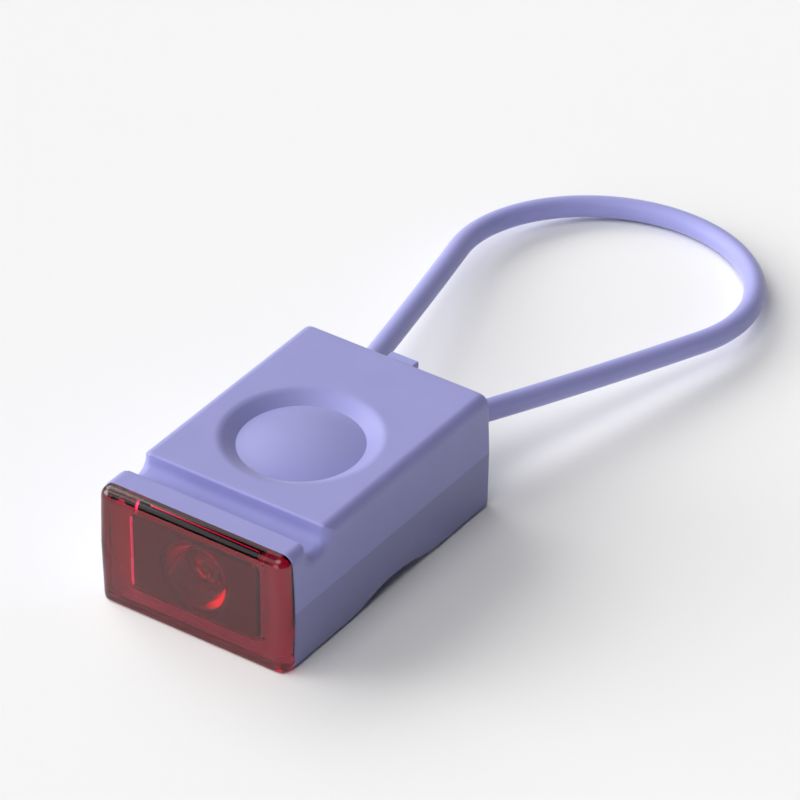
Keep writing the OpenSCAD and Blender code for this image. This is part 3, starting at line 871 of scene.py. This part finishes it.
@dataclass
class Strap:
    """The round strap loop, one tube from exit to exit."""

    radius: float = 1.6
    exit_x: float = 7.8
    exit_z: float = 10.5
    rear_y: float = 22.3
    loop_r: float = 21.6
    loop_l: float = 50.5
    root_l: float = 5.0
    buried: float = 1.5
    lean: float = 0.0072
    sag: float = 0.8
    sides: int = 40

    @property
    def spread(self) -> float:
        """Angle of each strand off the middle plane, in radians."""
        whole = math.asin(self.loop_r / math.hypot(self.exit_x, self.loop_l))
        return whole - math.atan2(self.exit_x, self.loop_l)

    @property
    def droop(self) -> float:
        """Angle of the loop below the level, in radians."""
        return math.asin((self.exit_z - self.radius) / (self.loop_l + self.loop_r))

    def place(self, x: float, along: float) -> np.ndarray:
        """Point of the loop's own plane, with its lean and its sag, in the frame of the part."""
        share = max(along, 0) / (self.loop_l + self.loop_r)
        drop = along * math.sin(self.droop) + self.sag * 4 * share * (1 - share)
        y = self.rear_y + along * math.cos(self.droop)
        return np.array((x + self.lean * along, y, self.exit_z - drop))

    @property
    def strand(self) -> Strand:
        """The strand on the +X side."""
        start = self.place(self.exit_x, 0)
        way = self.place(self.exit_x + math.sin(self.spread), math.cos(self.spread)) - start
        way /= np.linalg.norm(way)
        length = math.sqrt(self.exit_x ** 2 + self.loop_l ** 2 - self.loop_r ** 2)
        return Strand(start, way, length)

    def path(self) -> np.ndarray:
        """Middle line of the strap from one buried end to the other."""
        s = math.sin(self.spread), math.cos(self.spread)
        length = self.strand.length
        out = [(self.exit_x + s[0] * t, s[1] * t) for t in np.linspace(-self.buried, length, 60)[:-1]]
        turn = math.degrees(self.spread)
        out += arc((0, self.loop_l), self.loop_r, -turn, 180 + turn, 140)
        out += [(-x, t) for x, t in reversed(out[:59])]
        return np.array([self.place(*q) for q in out])

    def tree(self) -> bpy.types.NodeTree:
        """Geometry nodes that sweep a round section along a line."""
        tree = bpy.data.node_groups.new("strap_sweep", "GeometryNodeTree")
        sockets = {"Line": "Geometry", "Radius": "Float", "Sides": "Int", "Finish": "Material"}
        for label, kind in sockets.items():
            tree.interface.new_socket(label, in_out="INPUT", socket_type="NodeSocket" + kind)
        tree.interface.new_socket("Strap", in_out="OUTPUT", socket_type="NodeSocketGeometry")
        kinds = (
            "NodeGroupInput",
            "GeometryNodeMeshToCurve",
            "GeometryNodeCurvePrimitiveCircle",
            "GeometryNodeCurveToMesh",
            "GeometryNodeSetShadeSmooth",
            "GeometryNodeRealizeInstances",
            "GeometryNodeSetMaterial",
            "NodeGroupOutput",
        )
        source, line, section, sweep, smooth, real, finish, sink = (tree.nodes.new(k) for k in kinds)
        sweep.inputs["Fill Caps"].default_value = True
        for a, b in ((source.outputs["Line"], line.inputs["Mesh"]),
                     (source.outputs["Radius"], section.inputs["Radius"]),
                     (source.outputs["Sides"], section.inputs["Resolution"]),
                     (line.outputs["Curve"], sweep.inputs["Curve"]),
                     (section.outputs["Curve"], sweep.inputs["Profile Curve"]),
                     (sweep.outputs["Mesh"], smooth.inputs["Geometry"]),
                     (smooth.outputs["Geometry"], real.inputs["Geometry"]),
                     (real.outputs["Geometry"], finish.inputs["Geometry"]),
                     (source.outputs["Finish"], finish.inputs["Material"]),
                     (finish.outputs["Geometry"], sink.inputs["Strap"])):
            tree.links.new(a, b)
        return tree

    def build(self, shop: Shop) -> None:
        """Sweeps the strap, which stands for the loop and its roots."""
        points = self.path() * MM
        line = bpy.data.meshes.new("strap_line")
        line.from_pydata(points.tolist(), [(i, i + 1) for i in range(len(points) - 1)], [])
        carrier = bpy.data.objects.new("strap_line", line)
        bpy.context.scene.collection.objects.link(carrier)
        modifier = carrier.modifiers.new("sweep", "NODES")
        modifier.node_group = self.tree()
        # The strap takes the lighter copy of the silicone, which is painted light.
        values = {"Radius": self.radius * MM, "Sides": self.sides, "Finish": shop.strap}
        for item in modifier.node_group.interface.items_tree:
            if item.in_out == "INPUT" and item.name in values:
                modifier[item.identifier] = values[item.name]
        bpy.context.view_layer.update()
        seen = carrier.evaluated_get(bpy.context.evaluated_depsgraph_get())
        mesh = bpy.data.meshes.new_from_object(seen)
        mesh.name = "strap_tube"
        bpy.data.objects.remove(carrier)
        obj = piece(mesh, shop.strap, Slot.SILICONE, "strap_loop", "strap_roots")
        strand = self.strand
        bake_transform(obj)


@dataclass
class Lens:
    """The red lens cap and the optic behind it."""

    half_w: float = 15.6
    height: float = 18.15
    base_z: float = 0.05
    part_z: float = 9.1
    draft: float = 0.25
    front_y: float = -25.0
    rim_y: float = -22.9
    edge: tuple[float, float, float] = (0.45, 1.75, 1.5)
    corner: tuple[float, float] = (1.2, 1.7)
    face_corner: float = 0.6
    skirt_y: float = -20.7
    free_top: float = 0.16
    free_left: float = 2.0
    free_margin: float = 0.3
    skirt: tuple[float, float, float] = (14.6, 1.0, 17.2)
    skirt_r: float = 0.6
    rim_gap: float = 0.02
    rim_ease: float = 0.06
    back_wall: float = 0.25
    back_ease: float = 0.1
    pocket_corner: float = 1.2
    optic_z: float = 9.1
    pocket: tuple[float, float] = (21.2, 12.5)
    bevel: tuple[float, float] = (0.55, 0.32)
    pocket_r: float = 0.9
    holder_gap: float = 0.1
    holder_back: float = -20.3
    neck: tuple[float, float] = (5.5, 14.1)
    neck_y: tuple[float, float] = (-21.0, -19.5)
    bore: tuple[float, float, float] = (5.6, 5.1, -21.9)

    def _front(self, turn: float) -> np.ndarray:
        """One ring of the rounded front edge, whose radius differs at the base, the sides and the top.

        Args:
            turn: Place round the edge in radians, from 0 on the face to a right angle on the sides.

        Returns:
            One point a row.
        """
        base, side, top = self.edge
        inset, back = 1 - math.sin(turn), 1 - math.cos(turn)
        half = [self.half_w - d - side * inset for d in (self.draft, 0, self.draft)]
        level = (self.base_z + base * inset, self.part_z, self.height - top * inset)
        outline = Outline(tuple(half), level, tuple(c + (self.face_corner - c) * inset for c in self.corner))
        ring = outline.ring(0.0)
        ease = np.linspace(0, 1, outline.steps)
        ease = ease * ease * (3 - 2 * ease)
        radius = np.concatenate((base + (side - base) * ease, [side], side + (top - side) * ease))
        ring[:, 1] = self.front_y + np.concatenate((radius, radius[::-1])) * back
        return ring

    def build(self, shop: Shop) -> None:
        """Builds the lens and the collimator, which stand for their CAD nodes."""
        rings = [self._front(turn) for turn in np.radians(np.linspace(0, 90, 14))]
        sides = (self.half_w - self.draft, self.half_w, self.half_w - self.draft)
        face = Outline(sides, (self.base_z, self.part_z, self.height), self.corner)
        wide, low, high = self.skirt
        skirt = Outline((wide,) * 3, (low, self.optic_z, high), (self.skirt_r,) * 2)
        w, h = self.pocket[0] / 2, self.pocket[1] / 2
        level = (self.optic_z - h, self.optic_z, self.optic_z + h)
        pocket = Outline((w,) * 3, level, (self.pocket_corner,) * 2)
        rim, wall = self.rim_y - self.rim_gap, self.skirt_y - self.back_wall
        rings += [face.ring(rim - self.rim_ease), face.ring(rim, self.rim_ease)]
        rings += [skirt.ring(rim), skirt.ring(wall), self._back(skirt, self.back_ease)]
        rings += [self._back(pocket, -self.back_ease), pocket.ring(wall)]
        rings += [pocket.ring(self.rim_y + self.bevel[1]), pocket.ring(self.rim_y, self.bevel[0])]
        lens = piece(ring_mesh("lens_cap", rings, 25.0), shop.lens, Slot.RED_CLEAR, "lens")
        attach(lens, Body.LIGHT.value)
        turned = lathe("collimator_optic", self._optic(), 128, self.optic_z)
        optic = piece(turned, shop.clear, Slot.CLEAR_PLASTIC, "collimator")
        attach(optic, Body.LIGHT.value)
        skin = Skin((-11.0, -23.1, 2.6), (11.0, -19.2, 15.6), 0.2)
        block = skin.mesh(self._holder, "optic_block")
        holder = piece(block, shop.black_plastic, Slot.BLACK_PLASTIC, "optic_holder")
        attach(holder, Body.LIGHT.value)

    def _back(self, outline: Outline, inset: float) -> np.ndarray:
        """One ring on the back of the lens, which touches the gasket but for its top and left margins.

        Args:
            outline: Outline that the ring follows.
            inset: How far inside the outline the ring lies, in millimetres.

        Returns:
            One point a row.
        """
        ring = outline.ring(self.skirt_y, inset)
        right = self.optic_z + self.pocket[1] / 2 - self.free_margin
        free_z = np.where(ring[:, 0] > 0, right, self.free_left)
        ring[ring[:, 2] > free_z, 1] -= self.free_top
        return ring

    def _holder(self, p: np.ndarray) -> np.ndarray:
        """Distance field of the block that holds the optic, eased at the front to fit the pocket.

        Args:
            p: Points, one a row.

        Returns:
            One distance for each point.
        """
        x, y, z = np.abs(p[:, 0]), p[:, 1], np.abs(p[:, 2] - self.optic_z)
        rho = np.hypot(x, z)
        w, h = (size / 2 - self.holder_gap for size in self.pocket)
        block = round_max(x - w, z - h, self.pocket_corner - self.holder_gap)
        front = round_max(block, self.rim_y + self.holder_gap - y, self.pocket_r)
        block = np.maximum(front, y - self.holder_back)
        radius, top = self.neck
        neck = np.maximum(np.maximum(rho - radius, slab(y, *self.neck_y)), p[:, 2] - top)
        wide, narrow, step = self.bore
        bore = np.maximum(np.where(y < step, rho - wide, rho - narrow), -1.0)
        return np.maximum(np.minimum(block, neck), -bore)

    @staticmethod
    def _optic() -> list[tuple[float, float]]:
        """Profile of the collimator: dimple, face, flange, curved side and LED recess."""
        dimple = [(2.4 * t, -21.8 - 0.9 * t * t) for t in np.linspace(0, 1, 14)]
        side = [(2.8 + 2.2 * math.sqrt(1 - t), -21.9 + 2.8 * t) for t in np.linspace(0, 1, 16)]
        recess = [(1.5, -19.1), (1.5, -20.1), (1.2, -20.4), (0.7, -20.48), (0, -20.5)]
        return dimple + [(5.4, -22.7), (5.5, -22.6), (5.5, -22.0), (5.4, -21.9)] + side + recess


@dataclass
class Flap:
    """The soft flap over the charging socket, with its plug and pull tab."""

    plate: tuple[float, float, float] = (4.7, 7.4, 17.3)
    tab: tuple[float, float, float] = (2.2, 16.2, 17.3)
    plug: tuple[float, float, float] = (3.95, 10.1, 13.1)
    rear_y: float = 22.3
    plate_t: float = 0.88
    tab_y: float = 24.3
    plug_y: float = 20.3

    def field(self, p: np.ndarray) -> np.ndarray:
        """Distance field of the flap.

        Args:
            p: Points, one a row.

        Returns:
            One distance for each point.
        """
        x, y, z = np.abs(p[:, 0]), p[:, 1], p[:, 2]
        plate = round_max(x - self.plate[0], slab(z, *self.plate[1:]), 0.5)
        plate = round_max(plate, slab(y, self.rear_y - self.plate_t, self.rear_y), 0.15)
        tab = round_max(x - self.tab[0], slab(z, *self.tab[1:]), 0.2)
        tab = round_max(tab, slab(y, 21.8, self.tab_y), 0.3)
        plug = round_max(x - self.plug[0], slab(z, *self.plug[1:]), 0.6)
        plug = round_max(plug, slab(y, self.plug_y, 21.8), 0.3)
        return np.minimum(np.minimum(plate, tab), plug)

    def build(self, shop: Shop) -> None:
        """Builds the flap, which stands for its CAD node."""
        skin = Skin((-4.95, 20.0, 7.15), (4.95, 24.6, 17.55), 0.15)
        # The flap takes the strap's lighter copy of the silicone, which is painted light.
        obj = piece(skin.mesh(self.field, "port_flap_skin"), shop.strap, Slot.SILICONE, "port_flap")
        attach(obj, Body.FLAP.value)


@dataclass
class Inside:
    """The CAD pieces that stay as they are and get their finishes."""

    def build(self, shop: Shop) -> None:
        """Dresses the CAD nodes."""
        chips = ("controller_chip", "charger_chip")
        black = ("optic_holder", "header_block", "switch_case", "usb_tongue", *chips)
        finishes = (
            (shop.white_rubber, Slot.WHITE_RUBBER, ("lens_gasket",)),
            (shop.black_plastic, Slot.BLACK_PLASTIC, black),
            (shop.led, Slot.LED, ("led", "charge_light")),
            (shop.board, Slot.BOARD, ("led_board", "main_board")),
            (shop.grey_plastic, Slot.GREY_PLASTIC, ("capsule_tray", "capsule_lid", "switch_plunger")),
            (shop.steel, Slot.STEEL, ("capsule_screws", "usb_shell")),
            (shop.brass, Slot.BRASS, ("header_pins",)),
            (shop.pouch, Slot.POUCH, ("cell",)),
            (shop.tape, Slot.TAPE, ("cell_tape",)),
            (shop.leads, Slot.LEAD_SHEATH, ("cell_leads",)),
            (shop.ceramic, Slot.CERAMIC, ("chip_capacitors",)),
        )
        for material, slot, names in finishes:
            for name in names:
                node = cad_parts[name]
                node.data.materials.clear()
                node.data.materials.append(material)
                LOG.info("%s: %s", name, material.name)


# Studio


@dataclass(frozen=True)
class SoftBox:
    """A soft patch of light far away.

    Attributes:
        turn: Bearing in degrees, 0 at the back (+Y) and 90 on the right (+X).
        lift: Height above the horizon in degrees.
        level: Brightness.
        half: Half of its angle.
        fade: Width of its soft edge, in degrees.
    """

    turn: float
    lift: float
    level: float
    half: float = 17.0
    fade: float = 17.0

    @property
    def way(self) -> Vector:
        """Direction towards it."""
        a, e = math.radians(self.turn), math.radians(self.lift)
        return Vector((math.sin(a) * math.cos(e), math.cos(a) * math.cos(e), math.sin(e)))


BOXES = (
    SoftBox(-180, 12, 1.95),
    SoftBox(-120, 12, 6.3),
    SoftBox(120, 12, 0.3),
    SoftBox(-135, 36, 1.06),
    SoftBox(-105, 36, 1.86),
    SoftBox(-75, 36, 3.73),
    SoftBox(-45, 36, 1.0),
    SoftBox(-180, 62, 3.35),
    SoftBox(-90, 88, 0.44),
)


@dataclass
class Studio:
    """Camera, floor and light."""

    floor_colour: Colour = (0.90, 0.90, 0.90)
    horizon: tuple[float, float] = (0.055, 0.075)

    def camera(self) -> None:
        """Sets the camera where the photograph was taken from."""
        a, e, roll = math.radians(35.305), math.radians(34.962), math.radians(-0.184)
        back = Vector((math.sin(a) * math.cos(e), -math.cos(a) * math.cos(e), math.sin(e)))
        right = Vector((math.cos(a), math.sin(a), 0))
        right = Matrix.Rotation(roll, 3, back) @ right
        data = bpy.data.cameras.new("camera")
        data.sensor_width = 36.0
        data.lens = 6145.8 / 800 * 36.0
        data.clip_start, data.clip_end = 0.02, 50.0
        obj = bpy.data.objects.new("camera", data)
        place = Matrix((right, back.cross(right), back)).transposed().to_4x4()
        place.translation = (0.39678, -0.53746, 0.49087)
        obj.matrix_world = place
        bpy.context.scene.collection.objects.link(obj)
        bpy.context.scene.camera = obj

    def floor(self) -> None:
        """Lays the pale floor under the base, clear from below."""
        mesh = bpy.data.meshes.new("floor")
        mesh.from_pydata([(-6, -6, 0), (6, -6, 0), (6, 6, 0), (-6, 6, 0)], [], [(0, 1, 2, 3)])
        paint = Paint("pale_floor")
        skin = paint.moulded(900, 6)
        duller = tuple(c * 0.995 for c in self.floor_colour)
        paint.link(mix_colour(paint.tree, skin.outputs["Mottle"], self.floor_colour, duller), "Base Color")
        paint.set(Roughness=1.0, Specular_IOR_Level=0.0)
        out = paint.tree.nodes["Material Output"]
        kinds = ("ShaderNodeNewGeometry", "ShaderNodeBsdfTransparent", "ShaderNodeMixShader")
        under, clear, both = (add(paint.tree, k) for k in kinds)
        paint.tree.links.new(under.outputs["Backfacing"], both.inputs["Fac"])
        paint.tree.links.new(paint.shader.outputs["BSDF"], both.inputs[1])
        paint.tree.links.new(clear.outputs["BSDF"], both.inputs[2])
        paint.tree.links.new(both.outputs["Shader"], out.inputs["Surface"])
        mesh.materials.append(paint.material)
        obj = bpy.data.objects.new("floor", mesh)
        obj.location.z = -0.00005
        bpy.context.scene.collection.objects.link(obj)

    def light(self) -> None:
        """Lights the room with soft boxes, over a pale horizon."""
        world = bpy.data.worlds.new("studio")
        bpy.context.scene.world = world
        world.use_nodes = True
        tree = world.node_tree
        way = add(tree, "ShaderNodeTexCoord").outputs["Generated"]
        apart = add(tree, "ShaderNodeSeparateXYZ")
        tree.links.new(way, apart.inputs[0])
        total = ramp(tree, apart.outputs["Z"], *self.horizon, self.floor_colour[0], 0)
        for box in BOXES:
            dot = add(tree, "ShaderNodeVectorMath", operation="DOT_PRODUCT")
            tree.links.new(way, dot.inputs[0])
            dot.inputs[1].default_value = box.way
            edge = add(tree, "ShaderNodeMapRange", interpolation_type="SMOOTHSTEP")
            edge.inputs["From Min"].default_value = math.cos(math.radians(box.half + box.fade / 2))
            edge.inputs["From Max"].default_value = math.cos(math.radians(box.half - box.fade / 2))
            edge.inputs["To Max"].default_value = box.level
            tree.links.new(dot.outputs["Value"], edge.inputs["Value"])
            both = add(tree, "ShaderNodeMath", operation="ADD")
            tree.links.new(total, both.inputs[0])
            tree.links.new(edge.outputs["Result"], both.inputs[1])
            total = both.outputs[0]
        tree.links.new(total, tree.nodes["Background"].inputs["Strength"])
        tree.nodes["Background"].inputs["Color"].default_value = (1, 1, 1, 1)

    def build(self) -> None:
        """Sets up the studio."""
        bpy.context.scene.view_settings.view_transform = "Standard"
        self.camera()
        self.floor()
        self.light()


def main() -> None:
    """Builds the studio and every sub-assembly."""
    logging.basicConfig(level=logging.INFO, format="%(name)s %(message)s")
    Studio().build()
    shop = Shop()
    for part in (Strap(), Sleeve(), Button(), Lens(), Flap(), Inside()):
        part.build(shop)


if __name__ == "__main__":
    main()
